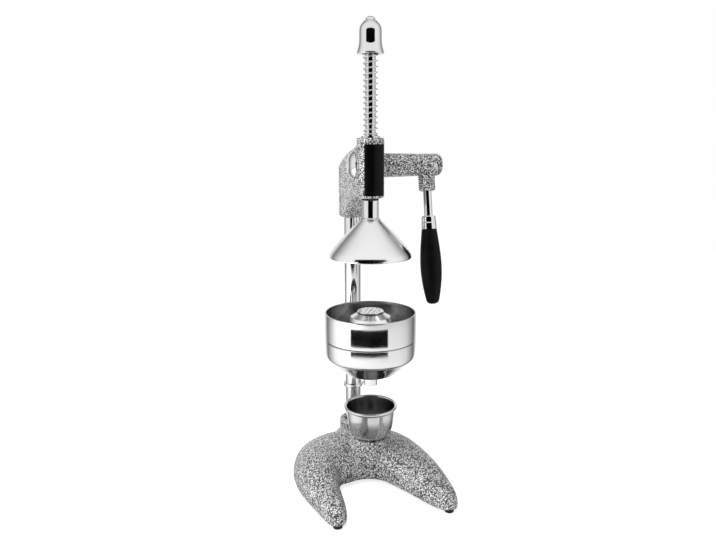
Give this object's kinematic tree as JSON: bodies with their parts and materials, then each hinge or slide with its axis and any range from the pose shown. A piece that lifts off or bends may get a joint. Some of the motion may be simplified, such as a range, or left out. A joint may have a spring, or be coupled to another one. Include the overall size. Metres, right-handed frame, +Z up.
{
  "type": "lever citrus juice press",
  "caption": "Table-top citrus press: a side lever turns a pinion that drives a toothed shaft and bell down over a strainer cone; juice runs through a funnel into a cup.",
  "frame": {"origin": "middle of the footprint, on the table, under the four rubber pads", "axes": "+Z up along the column, -Y towards the user (the two legs point that way), +X towards the lever"},
  "size_m": [0.2239, 0.2685, 0.6382],
  "materials": {
    "hammertone": "silver vein hammered enamel on cast metal",
    "chrome": "polished chrome plate",
    "cast_aluminium": "polished cast aluminium",
    "stainless": "polished spun stainless sheet",
    "steel": "bright machined steel",
    "bronze": "plain bronze",
    "grip_black": "moulded black, satin",
    "plate_black": "black enamelled thin plate, bare",
    "rubber": "black rubber"
  },
  "bodies": {
    "stand": {"base_casting": "hammertone", "foot_pads": "rubber", "foot_screws": "steel", "column": "chrome", "column_bolt": "steel", "column_washer": "steel", "base_set_screw": "steel", "head_casting": "hammertone", "head_set_screws": "steel", "side_cap": "chrome", "shaft_bush_left": "bronze", "shaft_bush_right": "bronze", "rack_bush_upper": "bronze", "rack_bush_lower": "bronze", "bush_lock_screw": "chrome", "label_plate": "plate_black", "spring_seat": "steel", "return_spring": "steel", "stop_collar": "chrome", "bowl_bracket": "chrome", "bracket_rivets": "chrome", "bracket_screw": "chrome", "funnel_bowl": "stainless", "funnel_spout": "stainless"},
    "plunger": {"rack_shaft": "steel", "top_cap": "chrome", "cap_set_screw": "steel", "spring_washer": "steel", "bell_hub": "chrome", "buffer_ring": "rubber", "press_bell": "cast_aluminium", "bell_nut": "steel"},
    "lever": {"pinion_shaft": "steel", "pinion_gear": "steel", "pinion_key": "steel", "retaining_ring": "steel", "thrust_washers": "steel", "lever_head": "hammertone", "lever_head_pin": "steel", "lever_rod": "chrome", "ferrule": "chrome", "grip": "grip_black"},
    "strainer_bowl": {"upper_bowl": "stainless", "strainer_cone": "cast_aluminium"},
    "cup": {"juice_cup": "stainless"},
    "thumb_screw": {"collar_thumb_screw": "chrome"}
  },
  "joints": [
    {"name": "lever_turn", "type": "hinge", "parent": "stand", "child": "lever", "pos_m": [0, 0.0262, 0.447], "axis": [1, 0, 0], "range_deg": [0, 286.4]},
    {"name": "rack_slide", "type": "slide", "parent": "stand", "child": "plunger", "axis": [0, 0, -1], "range_m": [0, 0.08], "stiffness_N_per_m": 250, "springref_m": -0.14, "deforming": ["return_spring"]},
    {"name": "bowl_lift", "type": "slide", "parent": "stand", "child": "strainer_bowl", "axis": [0, 0, 1], "range_m": [0, 0.012]},
    {"name": "cup_slide", "type": "slide", "parent": "stand", "child": "cup", "axis": [0, -1, 0], "range_m": [0, 0.12]},
    {"name": "screw_turn", "type": "hinge", "parent": "stand", "child": "thumb_screw", "pos_m": [0.0125, 0.105, 0.1003], "axis": [1, 0, 0], "range_deg": [0, 360]}
  ],
  "couplings": [
    {"joint": "rack_slide", "follows": "lever_turn", "m_per_rad": 0.016}
  ]
}
